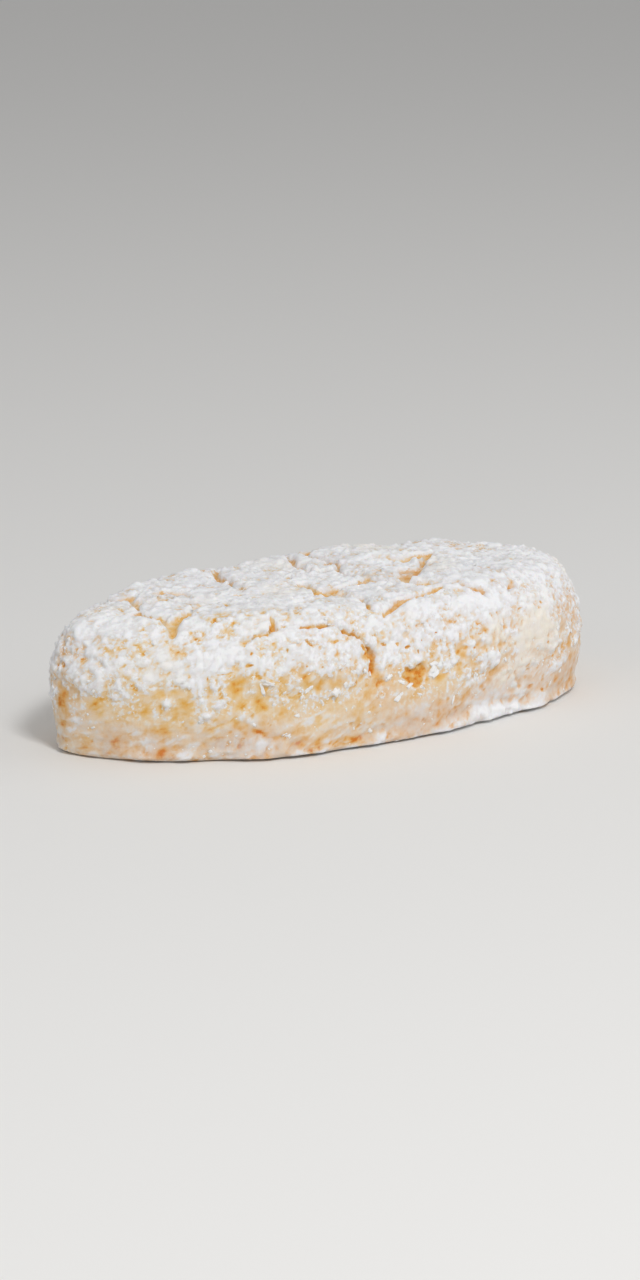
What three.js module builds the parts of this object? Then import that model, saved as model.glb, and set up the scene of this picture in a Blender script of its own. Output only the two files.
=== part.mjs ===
// A ricciarelli cookie: an oval slab of soft almond paste under a cracked crust of icing sugar.
// Millimetres, +Z up, the long way along X. It lies on its flat base, which is centred on the origin.

import * as THREE from "three";
import { mergeVertices } from "three/addons/utils/BufferGeometryUtils.js";

// Overall size of the finished cookie
const LENGTH = 82;
const WIDTH = 41;
const THICKNESS = 19.5;

// Plan: a rounded oval, shaped by hand and so a little uneven
const PLAN_POWER = 1.95;
const PLAN_WAVES = [
  { lobes: 1, size: 0.008, phase: 0.7 },
  { lobes: 3, size: 0.011, phase: 2.4 },
  { lobes: 5, size: 0.009, phase: 4.1 },
];

// Side: widest below the middle, tucked under at the base and well rounded at the top
const WIDEST_HEIGHT = 7.6;
const SHOULDER_HEIGHT = 18.4;
const SHOULDER_INSET = 6.6;
const SHOULDER_POWER = 2.25;
const FOOT_INSET = 2.1;
const FOOT_POWER = 2.2;
const CROWN = 0.06; // how much the top rises towards its middle, as a share of the height

// Relief: height or depth, and size across. Each kind draws its random numbers from a seed of its own
const SWELL = { height: 0.85, size: 17, seed: 60 };
const LUMP = { height: 0.4, size: 6.5, seed: 70 };
const WARP = { shift: 2.6, size: 8, seed: 10 }; // bends the borders of cracks and flakes
const BASE_FADE = 2.2; // height over which relief gives way to the flat base

// Cracks run between cells of the crust. They open where a broad noise is above shut, fully above wide,
// and only from the height low upwards, fully from high
const CRACK = { depth: 1.1, halfWidth: 1.5, cell: 13.5, seed: 20 };
const OPENING = { size: 14, seed: 30, shut: -0.35, wide: 0.25, low: 13, high: 18 };

// Flakes of caked sugar stand a little proud, the more the higher their own random number. They begin at the
// height low and are full from high upwards
const FLAKE = { height: 0.35, cell: 6.2, seed: 40, least: 0.35, most: 0.75, edge: 1.2, low: 7, high: 12 };

// Sugar caked round the foot, in a band round one height
const RIM = { height: 0.5, middle: 0.9, reach: 0.9, size: 5, seed: 50 };

// The large plate of crust on the front, with the crack round its top and right, and the hollow beside it.
// Shares are of the plate's half size. Its edge is rounded from the share inner outwards. Its crack lies at
// the share middle, opens between the shares from and full up or to the right, and closes over fade above end
const PLATE = { x: -14.5, z: 12.2, halfLength: 9.6, halfHeight: 4.9, power: 2.6, height: 0.45, inner: 0.7 };
const PLATE_CRACK = { depth: 0.9, middle: 1.05, width: 0.17, from: 0.1, full: 0.6, end: -0.85, fade: 0.4 };
const HOLLOW = { x: 1.8, z: 9.6, halfLength: 1.9, halfHeight: 1.4, depth: 0.85, inner: 0.4, outer: 1.3 };
const FRONT = { from: 2, full: 8 }; // how far forward of the middle these features fade in

// Mesh: steps along, across and up, and the base's rings, which each have half the points of the last
const ALONG = 56;
const ACROSS = 28;
const UP = 20;
const BASE_RINGS = 3;
const RING_GAP = 0.24; // between rings, as a share of the base
const HUB = [1, 1, 0]; // where the triangles in the middle of the base meet
const FLOOR_SIDE = 5; // the side of a box that faces down, as its sides are counted from 0

// Factors that mix a grid cell's place into a random number
const MIX = [0x8da6b343, 0xd8163841, 0xcb1ab31f, 0x165667b1];
const STIR = [0x2c1b3c6d, 0x297a2d39];

// A random number from 0 to 1 that belongs to one grid cell
function random(cell, seed) {
  let mixed = Math.imul(seed, MIX[3]);
  for (let i = 0; i < 3; i++) {
    mixed ^= Math.imul(cell[i], MIX[i]);
  }
  mixed = Math.imul(mixed ^ (mixed >>> 15), STIR[0]);
  mixed = Math.imul(mixed ^ (mixed >>> 12), STIR[1]);
  mixed ^= mixed >>> 15;
  return (mixed >>> 0) / 2 ** 32;
}

// 0 below low, 1 above high, with a smooth rise between
function rise(value, low, high) {
  const t = Math.min(Math.max((value - low) / (high - low), 0), 1);
  return t * t * (3 - 2 * t);
}

// Smooth noise from -1 to 1 whose bumps are about size across
function noise(point, size, seed) {
  const cell = point.map((c) => Math.floor(c / size));
  const part = point.map((c, i) => rise(c / size - cell[i], 0, 1));
  let sum = 0;
  for (let corner = 0; corner < 8; corner++) {
    const step = [corner & 1, (corner >> 1) & 1, corner >> 2];
    const weight = step.reduce((w, s, i) => w * (s ? part[i] : 1 - part[i]), 1);
    sum += weight * random(cell.map((c, i) => c + step[i]), seed);
  }
  return 2 * sum - 1;
}

// The irregular cell that holds a point: how far its border is, and a random number of its own
function crustCell(point, size, seed) {
  const home = point.map((c) => Math.floor(c / size));
  let near = { away: Infinity };
  let next = { away: Infinity };
  for (let n = 0; n < 27; n++) {
    const step = [n % 3, Math.floor(n / 3) % 3, Math.floor(n / 9)];
    const cell = home.map((c, i) => c + step[i] - 1);
    const centre = cell.map((c, i) => (c + random(cell, seed + i)) * size);
    const away = Math.hypot(...centre.map((c, i) => c - point[i]));
    if (away < near.away) {
      next = near;
      near = { away, centre, cell };
    } else if (away < next.away) {
      next = { away, centre };
    }
  }
  const apart = Math.hypot(...near.centre.map((c, i) => c - next.centre[i]));
  return { border: (next.away ** 2 - near.away ** 2) / (2 * apart), draw: random(near.cell, seed + 3) };
}

// The side from the foot, over the widest line, to the edge of the top: x is the inset, y the height
class SideProfile extends THREE.Curve {
  getPoint(t, target = new THREE.Vector2()) {
    const lower = t < 0.5;
    const angle = Math.abs(t - 0.5) * Math.PI;
    const power = 2 / (lower ? FOOT_POWER : SHOULDER_POWER);
    const inset = (lower ? FOOT_INSET : SHOULDER_INSET) * (1 - Math.cos(angle) ** power);
    const climb = (lower ? -WIDEST_HEIGHT : SHOULDER_HEIGHT - WIDEST_HEIGHT) * Math.sin(angle) ** power;
    return target.set(t === 0 ? FOOT_INSET : inset, t === 0 ? 0 : WIDEST_HEIGHT + climb);
  }
}

const profile = new SideProfile().getSpacedPoints(UP);

// A point of the oval outline, moved inwards by inset
function planPoint(angle, inset) {
  const power = 2 / PLAN_POWER;
  const cos = Math.cos(angle);
  const sin = Math.sin(angle);
  const x = (LENGTH / 2) * Math.sign(cos) * Math.abs(cos) ** power;
  const y = (WIDTH / 2) * Math.sign(sin) * Math.abs(sin) ** power;
  const slopeX = (Math.sign(x) * Math.abs((2 * x) / LENGTH) ** (PLAN_POWER - 1)) / LENGTH;
  const slopeY = (Math.sign(y) * Math.abs((2 * y) / WIDTH) ** (PLAN_POWER - 1)) / WIDTH;
  const steep = Math.hypot(slopeX, slopeY);
  return [x - (inset * slopeX) / steep, y - (inset * slopeY) / steep];
}

// The direction of a point on the square from -1 to 1, with even steps along each side of the square
function squareAngle(u, v) {
  if (Math.abs(u) > Math.abs(v)) {
    return (Math.PI / 4) * (v / u) + (u < 0 ? Math.PI : 0);
  }
  return Math.PI / 2 - (Math.PI / 4) * (u / v) + (v < 0 ? Math.PI : 0);
}

// The smooth cookie: where a point of the unit box goes, its walls to the side and its lid to the top
function smoothPoint(u, v, w) {
  const row = profile[Math.round(((w + 1) / 2) * UP)];
  const reach = Math.max(Math.abs(u), Math.abs(v));
  const [edgeX, edgeY] = reach > 0 ? planPoint(squareAngle(u, v), row.x) : [0, 0];
  const around = Math.atan2(v, u);
  const wave = PLAN_WAVES.reduce((sum, p) => sum + p.size * Math.cos(p.lobes * around + p.phase), 1);
  const x = edgeX * reach * wave;
  const y = edgeY * reach * wave;
  const outwards = Math.min((2 * x / LENGTH) ** 2 + (2 * y / WIDTH) ** 2, 1);
  return [x, y, row.y * (1 + CROWN * (1 - outwards))];
}

// The large plate, its crack and the hollow, all on the front
function frontRelief([x, y, z]) {
  const front = rise(-y, FRONT.from, FRONT.full);
  const along = (x - PLATE.x) / PLATE.halfLength;
  const up = (z - PLATE.z) / PLATE.halfHeight;
  const out = (Math.abs(along) ** PLATE.power + Math.abs(up) ** PLATE.power) ** (1 / PLATE.power);
  const plate = PLATE.height * (1 - rise(out, PLATE.inner, 1)) * rise(up, -1, 0);
  const above = rise(up, PLATE_CRACK.end, PLATE_CRACK.end + PLATE_CRACK.fade);
  const cracked = above * rise(Math.max(up, along), PLATE_CRACK.from, PLATE_CRACK.full);
  const besideCrack = Math.abs(out - PLATE_CRACK.middle);
  const crack = PLATE_CRACK.depth * cracked * (1 - rise(besideCrack, 0, PLATE_CRACK.width));
  const hollowOut = Math.hypot((x - HOLLOW.x) / HOLLOW.halfLength, (z - HOLLOW.z) / HOLLOW.halfHeight);
  const hollow = HOLLOW.depth * (1 - rise(hollowOut, HOLLOW.inner, HOLLOW.outer));
  return front * (plate - crack - hollow);
}

// How far the surface stands out from the smooth cookie
function relief(point) {
  const swell = SWELL.height * noise(point, SWELL.size, SWELL.seed);
  const lump = LUMP.height * noise(point, LUMP.size, LUMP.seed);
  const warped = point.map((c, i) => c + WARP.shift * noise(point, WARP.size, WARP.seed + i));
  const opened = rise(noise(point, OPENING.size, OPENING.seed), OPENING.shut, OPENING.wide);
  const between = 1 - rise(crustCell(warped, CRACK.cell, CRACK.seed).border, 0, CRACK.halfWidth);
  const crack = CRACK.depth * between * opened * rise(point[2], OPENING.low, OPENING.high);
  const flake = crustCell(warped, FLAKE.cell, FLAKE.seed);
  const flakeHeight = FLAKE.height * rise(flake.draw, FLAKE.least, FLAKE.most);
  const caked = flakeHeight * rise(flake.border, 0, FLAKE.edge) * rise(point[2], FLAKE.low, FLAKE.high);
  const band = Math.exp(-(((point[2] - RIM.middle) / RIM.reach) ** 2));
  const rim = RIM.height * band * (1 + noise(point, RIM.size, RIM.seed));
  return swell + lump + caked + rim - crack + frontRelief(point);
}

// Splits each quad of two triangles along its shorter diagonal
function splitShort(points, index) {
  const split = [];
  const away = (i, j) => Math.hypot(...points[i].map((c, k) => c - points[j][k]));
  for (let i = 0; i < index.length; i += 6) {
    const [a, b, d, , c] = index.slice(i, i + 5);
    if (away(a, c) < away(b, d)) {
      split.push(a, b, c, a, c, d);
    } else {
      split.push(a, b, d, b, c, d);
    }
  }
  return split;
}

// Closes the base with its rings, and a fan in the middle
function closeBase(points, index, ring) {
  let outer = ring;
  const add = (point) => points.push(point) - 1;
  for (let turn = 1; turn <= BASE_RINGS; turn++) {
    const shrink = (1 - turn * RING_GAP) / (1 - (turn - 1) * RING_GAP);
    const inner = outer.filter((_, i) => i % 2 === 0).map((i) => add(points[i].map((c) => c * shrink)));
    inner.forEach((p, i) => {
      const q = inner[(i + 1) % inner.length];
      const [a, b, c] = [outer[2 * i], outer[2 * i + 1], outer[(2 * i + 2) % outer.length]];
      index.push(a, p, b, b, p, q, b, q, c);
    });
    outer = inner;
  }
  const hub = add(HUB);
  outer.forEach((p, i) => index.push(p, hub, outer[(i + 1) % outer.length]));
}

// Makes an indexed geometry
function indexed(points, index) {
  const geometry = new THREE.BufferGeometry();
  geometry.setAttribute("position", new THREE.Float32BufferAttribute(points.flat(), 3));
  geometry.setIndex(index);
  geometry.computeVertexNormals();
  return geometry;
}

// Stretches the points to the cookie's overall size, centred over the origin and standing on z = 0
function fitToSize(points) {
  const box = new THREE.Box3().setFromArray(points.flat());
  const low = box.min.toArray();
  const span = box.getSize(new THREE.Vector3()).toArray();
  const wanted = [LENGTH, WIDTH, THICKNESS];
  const start = [-LENGTH / 2, -WIDTH / 2, 0];
  return points.map((point) => point.map((c, i) => start[i] + ((c - low[i]) * wanted[i]) / span[i]));
}

// The whole cookie: the unit box's walls and lid are shaped, closed by a flat base and given their relief
function cookieGeometry() {
  const box = new THREE.BoxGeometry(2, 2, 2, ALONG, ACROSS, UP);
  const floor = box.groups[FLOOR_SIDE];
  box.deleteAttribute("normal");
  box.deleteAttribute("uv");
  box.setIndex(Array.from(box.index.array.slice(0, floor.start)));
  const shell = mergeVertices(box);
  const place = shell.attributes.position;
  const everyPoint = Array.from({ length: place.count }, (_, i) => i);
  const corners = everyPoint.map((i) => [place.getX(i), place.getY(i), place.getZ(i)]);
  const points = corners.map((corner) => smoothPoint(...corner));
  const index = splitShort(points, Array.from(shell.index.array));
  const ring = everyPoint.filter((i) => corners[i][2] === -1);
  const angles = corners.map(([u, v]) => squareAngle(u, v));
  ring.sort((i, j) => angles[i] - angles[j]);
  closeBase(points, index, ring);
  const normals = indexed(points, index).attributes.normal;
  const shaped = points.map((point, i) => {
    if (i >= corners.length) {
      return point;
    }
    const out = relief(point);
    const lift = rise(point[2], 0, BASE_FADE);
    return [
      point[0] + out * normals.getX(i),
      point[1] + out * normals.getY(i),
      point[2] + out * normals.getZ(i) * lift,
    ];
  });
  return indexed(fitToSize(shaped), index);
}

const sugaredPaste = new THREE.MeshStandardMaterial({ color: 0xe9dfd2, roughness: 0.95, metalness: 0 });

const cookie = new THREE.Mesh(cookieGeometry(), sugaredPaste);
cookie.name = "cookie";

const part = new THREE.Group();
part.add(cookie);

export default part;
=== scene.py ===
"""A ricciarelli cookie, dressed for rendering.

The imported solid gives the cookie's place and size. This script repeats its form on a much finer mesh, adds
the finer relief of the sugar crust, scatters loose sugar over it and gives both their materials. The cookie's
sizes are in millimetres and are turned into metres for Blender.
"""

import math
from types import SimpleNamespace as Form

import bmesh
import bpy
import numpy as np
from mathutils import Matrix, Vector


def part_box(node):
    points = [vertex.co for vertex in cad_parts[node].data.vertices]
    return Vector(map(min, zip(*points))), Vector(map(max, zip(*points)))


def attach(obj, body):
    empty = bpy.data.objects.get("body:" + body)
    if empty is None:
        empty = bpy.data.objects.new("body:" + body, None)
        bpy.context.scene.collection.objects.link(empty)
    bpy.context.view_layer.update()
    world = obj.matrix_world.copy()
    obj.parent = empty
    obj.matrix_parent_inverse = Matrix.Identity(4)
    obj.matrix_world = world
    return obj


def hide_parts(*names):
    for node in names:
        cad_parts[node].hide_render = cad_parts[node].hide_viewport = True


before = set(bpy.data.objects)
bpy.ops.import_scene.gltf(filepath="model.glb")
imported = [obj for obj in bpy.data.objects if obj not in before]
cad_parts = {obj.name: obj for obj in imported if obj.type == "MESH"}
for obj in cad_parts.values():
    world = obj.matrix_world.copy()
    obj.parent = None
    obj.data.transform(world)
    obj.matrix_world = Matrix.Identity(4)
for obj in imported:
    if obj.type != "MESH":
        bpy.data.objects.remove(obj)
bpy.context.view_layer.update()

MM = 0.001
NODE = "cookie"

# Overall size, from the frame
LOW, HIGH = (np.array(corner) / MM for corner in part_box(NODE))
LENGTH, WIDTH, THICKNESS = HIGH - LOW
MIDDLE = Vector((0, 0, THICKNESS / 2 * MM))

# Plan: a rounded oval, shaped by hand and so a little uneven. Each wave is lobes, size and phase
PLAN_POWER = 1.95
PLAN_WAVES = ((1, 0.008, 0.7), (3, 0.011, 2.4), (5, 0.009, 4.1))

# Side: widest below the middle, tucked under at the base and well rounded at the top
WIDEST_HEIGHT = 7.6
SHOULDER_HEIGHT, SHOULDER_INSET, SHOULDER_POWER = 18.4, 6.6, 2.25
FOOT_INSET, FOOT_POWER = 2.1, 2.2
CROWN = 0.06
PROFILE_STEPS = 2001

# Below, a range is where a share is 0 and where it is 1, a wave is amount, size across and seed, a shift is
# reach, size across and seed, and spots are size across, seed, and the noise at which they begin and are full.
# An oval on the front is x, z, half length, half height and tilt

# Broad relief, as in the solid
SWELL_WAVE = (0.85, 17, 60)
LUMP_WAVE = (0.4, 6.5, 70)
BASE_FADE = 2.2  # the relief grows up to this height, so that the base stays flat
FINE_FADE = 0.6  # and the fine relief up to this one

# The net of cracks: half width from least to most, size of a piece of crust, how wide a crack begins, and how
# deep a narrow one is
CRACK = Form(depth=0.95, least=0.42, most=1.15, cell=13.5, seed=20, begins=(0.05, 0.3), full=0.8, narrow=0.5)
CRACK_SHIFTS = ((2.6, 8, 10), (0.5, 2, 140), (0.2, 0.8, 143))
CRACK_WIDTH_WAVE = (0.35, 1.1, 147)
CRACK_BRIDGED = 1.2

# Where the cracks stand open: in spots, from what height, and how far
OPENING = Form(spots=(14, 30, -0.35, 0.25), low=13, high=18, middle=0.65, wave=(0.8, 4.5, 145))
SHOULDER_WHOLE = 3.5  # how much further up the front's cracks begin

# Flakes of crust: which cells have one, how wide their edges are, and the heights where they begin
FLAKE = Form(height=0.3, cell=6.2, seed=40, drawn=(0.35, 0.75), edge=0.7, heights=(7, 12))

# The foot's rim of caked sugar, and the film that climbs from it
RIM = Form(height=0.5, middle=0.9, reach=0.9, size=5, seed=50)
FILM = Form(height=0.35, top=1.2, size=3.2, seed=55, edge=0.6)

# How far back the front reaches, and how the edges of what is drawn on it are made ragged
FRONT_DEPTH = (2, 8)
FRONT_SHIFTS = ((0.35, 1.6, 120), (0.22, 0.6, 130))

# The large plate of crust on the front. All ranges of the plate and its crack are in shares of its half size
PLATE = Form(x=-14.5, z=12.2, long=9.6, high=4.9, power=2.6, inner=0.7, height=0.58)

# The crack round the plate's top and right. It ends below and at the left, is thin round the corner and wide
# at the right, and sugar breaks it in places
PLATE_CRACK = Form(depth=0.9, half_width=0.52, middle=1.04, round=(0.1, 0.6), bridged=1.4)
ENDS = Form(below=(-0.5, -0.2), left=(-0.95, -0.65))
BROKEN = Form(least=0.55, spots=(3, 125, -0.45, 0.2), shallow=0.45)
CORNER = Form(thinner=0.5, up=(0.3, 0.6), along=(0.35, 0.6))
RIGHT = Form(wider=0.6, along=(0.8, 0.98))
PLATE_LIP = Form(height=0.16, middle=0.94, reach=0.08)
LEAST_OUT, LEAST_SLOPE = 0.1, 0.02  # keep divisions near the plate's middle sound

# The hollow beside the plate
HOLLOW = Form(depth=0.62, inner=0.5, outer=1.1, wave=(0.25, 0.9, 127), bare=1.7, edge=1.15)
HOLLOW_PLACES = ((1.6, 9.7, 2.15, 1.05, 0.1), (1.9, 8.9, 1.25, 1.4, 0.5), (3, 10, 0.85, 0.8, 0.6))

# A dent's walls, as a range from outside in, and how bare it is
DENT = Form(walls=(-0.4, 0.8), least=0.6, by_depth=1.6, inwards=0.75, at_edge=0.36)

# Fine relief. A form is drawn out, up and down, by what its points are squeezed to where the skin is upright
CLUMP = Form(height=0.37, size=1.3, seed=80, shift=(0.35, 1.2, 150))
FEATHER = Form(height=0.12, size=0.95, seed=85, shift=(0.6, 2.6, 155), squeeze=0.35)
EDGE = Form(height=0.12, wave=(0.16, 2.2, 90), sugar=(0.5, 0.7))
GRAIN_WAVE = (0.05, 0.6, 100)
PIT = Form(depth=0.12, size=0.95, seed=105, shift=(0.3, 0.7, 160), squeeze=0.65)
CRUMB = Form(height=0.16, size=0.9, seed=170)
UPRIGHT_UP_TO = (15, 18.5)
LUMP_MIDDLE = 0.45  # what the noise of lumps is on average

# Streaks and dashes where the paste was drawn along
STREAK = Form(height=0.09, long=7, short=1.3, tilt=0.5, seed=110)
DASH = Form(height=0.06, long=2.6, short=0.75, tilt=0.42, seed=115, shift=(0.4, 1.5, 117))
DASH_SHARE = Form(raised=(0.15, 0.5), sunk=(0.2, 0.55), sunk_by=0.9, spots=(4.5, 118, -0.5, 0.3))

# Pits lie in sugar neither thin nor thick. Where they are many, they begin at lower noise and are full sooner
PITS = Form(sugar=((0.4, 0.52), (0.7, 1)), begin=0.3, sooner=0.2, full=0.75, full_sooner=0.3, many=(0, 0.3))

# How much sugar lies where. A step is how much more over a range of heights. The smaller waves are weaker low
# down and where the skin is calm
ZONE = Form(least=0.42, foot=0.26, foot_spots=(9, 195, -0.35, 0.25), flake=0.08)
ZONE_STEPS = ((-0.03, 5, 8), (0.225, 7, 14.5), (0.2, 15, 18.3))
ZONE_WAVES = Form(wide=(0.09, 13, 200), middle=(0.3, 5, 210), small=(0.48, 2.2, 220))
ZONE_SMALLER = Form(low=0.72, heights=(4, 11), calm=0.5)

# Sugar is powdery from this much on, and higher up it needs less
POWDERY = Form(sugar=(0.36, 0.62), per_mm=0.05, height=10)

# How much sugar the fine relief adds, or takes away, and how much of its relief smooth sugar keeps
FINE_SUGAR = Form(clump=0.5, feather=0.3, streak=0.2, dash=0.3, pit=0.2, deep_pit=0.12, lip=0.16)
FINE_SUGAR_WAVE = (0.14, 1.3, 165)
SMOOTH_SUGAR = Form(clumps=0.25, relief=0.1, less=0.03, less_at_foot=0.05, foot=(2, 4.5))
CALM_SMOOTHER = 0.7
IN_CRUMB, CRUMB_SMOOTHER = (0.3, 0.8), 0.8

# Dull grey sugar and painted shade: low on the sides, in spots, less of it where the skin is calm, and only
# where sugar is thin
DULLNESS_AND_SHADE = Form(heights=(2.5, 8), sugar=((0.04, 0.3), (0.5, 0.7)), least=0.3, calm=0.6)
DULL_AND_SHADE_SPOTS = (4, 250, -0.4, 0.4)

# Cream sugar outside its places on the front, and what breaks it up everywhere
CREAM_SPOTS, CREAM_SPOT_SHARE = (8, 270, 0.1, 0.7), 0.45
CREAM_BROKEN = (3, 280, -0.7, 0.1)

# Where thick sugar thins out, which is where specks and flecks lie: less of it low down and none in crumb
THINNING = Form(sugar=((0.34, 0.48), (0.62, 0.85)), least=0.3, heights=(5, 8), crumb=(0, 0.5))

# How pale bare crumb is: more at its edge, and in spots in the cracks
CRUMB_PALE = Form(least=-0.03, lumps=0.2, edge=0.14, bare=(0.45, 0.75), crack=0.1, more=0.22)
CRUMB_SPOTS = (2.5, 275, 0, 0.5)

# From rosy, 0, to golden, 1. On the front each row adds an amount over a range of x and a range of z
GOLDEN_SHARE = Form(middle=0.5, wave=(0.9, 9, 180))
ANYWHERE = (-2000, -1000)
GOLDEN_FRONT = (
    (0.22, (8, -8), ANYWHERE),
    (-0.3, (8, 16), ANYWHERE),
    (0.55, (-15, -21), (4, 7)),
    (-0.55, ANYWHERE, (6.5, 1.5)),
    (-0.4, (2, 7), (7.5, 4.5)),
)

# Colours from bare crumb to thick sugar: at how much sugar, and red, green and blue as on a screen
GOLDEN = (
    (0, (216, 132, 38)),
    (0.12, (228, 175, 88)),
    (0.26, (231, 195, 137)),
    (0.42, (233, 210, 177)),
    (0.55, (233, 221, 204)),
    (0.68, (231, 228, 225)),
    (0.84, (234, 233, 234)),
    (1, (244, 244, 245)),
)
ROSY = (
    (0, (210, 124, 46)),
    (0.12, (223, 168, 102)),
    (0.26, (225, 189, 152)),
    (0.42, (229, 206, 184)),
    (0.55, (230, 218, 208)),
    (0.68, (230, 227, 226)),
    (0.84, (234, 233, 235)),
    (1, (244, 244, 246)),
)

# Thin dull sugar with painted shade low on the sides, and smooth thick sugar that has drunk some of the
# almond's oil
DULL_AND_SHADE = (217, 205, 196)
CREAM = (241, 232, 217)

# How the edges of ovals on the front are made ragged, and where they begin and are full
PATCH_SHIFTS, PATCH_EDGE = ((0.8, 2.5, 230), (0.3, 0.9, 240)), (1.2, 0.55)
PLACE_SHIFT, PLACE_EDGE = (0.8, 2.5, 260), (1.25, 0.4)

# Patches on the front: ovals, how much more sugar, how much higher
FRONT_PATCHES = (
    (-30.2, 1.2, 2.2, 1.3, 0, 0.2, 0),
    (-25.8, 3.9, 1.6, 1, 0.2, -0.08, -0.04),
    (-25.2, 1.6, 2, 1, 0.2, 0.24, 0.04),
    (-25, 15.2, 3.6, 2.2, 0, 0.16, 0),
    (-24.2, 10, 1.8, 0.4, -0.1, -0.12, -0.02),
    (-23.4, 10.2, 4.6, 1.9, -0.2, -0.08, -0.03),
    # Painted shade: this row and the next give a brown band under the raised panel, partly the shade below its
    # edge
    (-22.6, 4.9, 3, 0.85, -0.3, -0.38, -0.08),
    (-19.4, 3.6, 2.4, 0.65, -0.45, -0.16, -0.08),
    (-21.2, 8, 1.4, 1.1, 0, 0.05, 0),
    (-20.9, 2.3, 0.7, 1.3, 0.1, 0.3, 0.05),
    (-21.2, 9.8, 1.3, 1.7, -0.3, -0.1, -0.02),
    (-19, 13.2, 2, 0.6, 0.2, -0.06, 0),
    (-17.4, 9.9, 2, 2, -0.3, 0.13, 0),
    # Painted shade: the band under the raised panel goes on here, partly the shade below its edge
    (-17.6, 2.6, 4.4, 0.55, -0.22, -0.13, -0.05),
    (-16.2, 4.5, 2, 0.9, 0, 0.08, 0),
    (-13.8, 1.4, 2.2, 0.85, 0.15, 0.31, 0.04),
    (-14, 12.2, 5, 1.1, 0.05, -0.16, -0.03),
    (-13, 5.8, 8, 3.3, 0, 0.02, 0.14),
    (-12.9, 10.4, 3.2, 1.8, 0.1, -0.16, -0.03),
    (-12.2, 13.7, 8, 2.5, 0.03, 0.14, 0),
    (-11.2, 7.8, 2.2, 1.4, 0.2, 0.17, 0),
    # Painted shade: browner low on the front near the foot, where shade falls
    (-9.4, 1.7, 3.1, 0.85, 0.12, -0.38, -0.05),
    (-7.6, 3, 1.6, 0.8, 0.1, 0.07, 0),
    (-9.4, 15, 2.2, 0.9, -0.3, 0.1, 0),
    (-7.9, 9.2, 2, 1.5, 0, 0.12, 0),
    (-6.6, 12.6, 0.8, 1.6, 0.2, 0.12, 0),
    (-6.3, 7.2, 1.3, 1.5, -0.3, -0.05, 0),
    (-6, 3.1, 3.2, 0.45, 0.3, -0.06, 0),
    (-4.6, 11.6, 0.9, 2, 0, -0.14, -0.05),
    (-3.3, 7.7, 1.6, 1.1, 0, 0.24, 0),
    (-3.2, 14.2, 1.8, 1, 0, 0.14, 0),
    (-2.6, 1, 2.4, 0.9, 0.05, 0.26, 0.08),
    (-0.4, 4.8, 2.4, 1, 0.2, 0.1, 0),
    (0, 7.6, 1.5, 0.9, 0.3, -0.06, 0),
    (2, 13.8, 7.5, 2, 0.1, 0.13, 0),
    (2.3, 10.9, 1.8, 0.8, 0.2, -0.1, 0),
    (4, 6.6, 8.5, 2, 0.3, -0.01, 0.08),
    (5, 0.7, 2.2, 0.9, 0, 0.14, 0.1),
    (5.4, 3.4, 1.6, 1.1, 0, 0.2, 0),
    (7.2, 9.3, 3, 1.1, 0.2, -0.24, -0.05),
    (6.9, 6.8, 3, 1.2, 0.2, 0.1, 0),
    (9.2, 4, 3.4, 1.1, 0.3, -0.17, -0.05),
    (10, 12.4, 1.3, 1.2, 0, -0.16, -0.04),
    (12, 15.8, 14, 1.6, 0.05, 0.14, 0),
    (12.2, 14, 1.8, 1, 0, 0.15, 0),
    (12.5, 9.6, 2.3, 2.2, 0.5, 0.16, 0),
    (14.2, 7.2, 1.8, 1, 0.5, 0.2, 0),
    (14.2, 12.4, 2.8, 1.8, 0.2, -0.12, 0),
    (15.5, 0.8, 9.5, 1.6, 0.02, 0.48, 0.6),
    (15.5, 3, 4, 0.7, 0.3, 0.12, 0.05),
    (15.6, 9.7, 0.95, 1.3, 0.2, 0.3, 0.28),
    (16.6, 12.3, 3.2, 1.6, 0.1, -0.12, -0.02),
    (17.3, 8.4, 2.6, 1.1, 0.3, -0.16, 0),
    (20.8, 3, 5, 1.4, 0.2, 0.25, 0.06),
    (20.8, 6.6, 3.4, 1.8, 0.2, 0.25, 0),
    (22.9, 10.2, 4.4, 3.8, 0.3, 0.12, 0.16),
    (23.4, 4.4, 1.6, 1.4, 0.3, -0.16, 0),
    (24.5, 14, 3.2, 1.6, 0, 0.16, 0),
    (24.6, 1.2, 2.6, 1.4, 0.1, 0.24, 0.1),
    (28, 5.6, 1.6, 1.4, 0, 0.2, 0.05),
)

# Where the front's sugar is cream, where its skin is smooth, and where sugar bridges the cracks
FRONT_CREAM = ((22.6, 11, 6.2, 5.2, 0.3), (17, 12.8, 3.6, 1.8, 0.1), (18.5, 6.6, 4, 1.8, 0.2))
FRONT_CALM = ((-13.2, 5.8, 7, 3.2, 0), (22.6, 10.4, 4.4, 3.2, 0.3), (3, 6.4, 7, 1.5, 0.35))
FRONT_BRIDGES = ((-15.6, 16.9, 1.7, 1, 0), (-2.8, 17.6, 1.3, 1, 0), (18.7, 17, 3, 1.4, 0))

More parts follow.
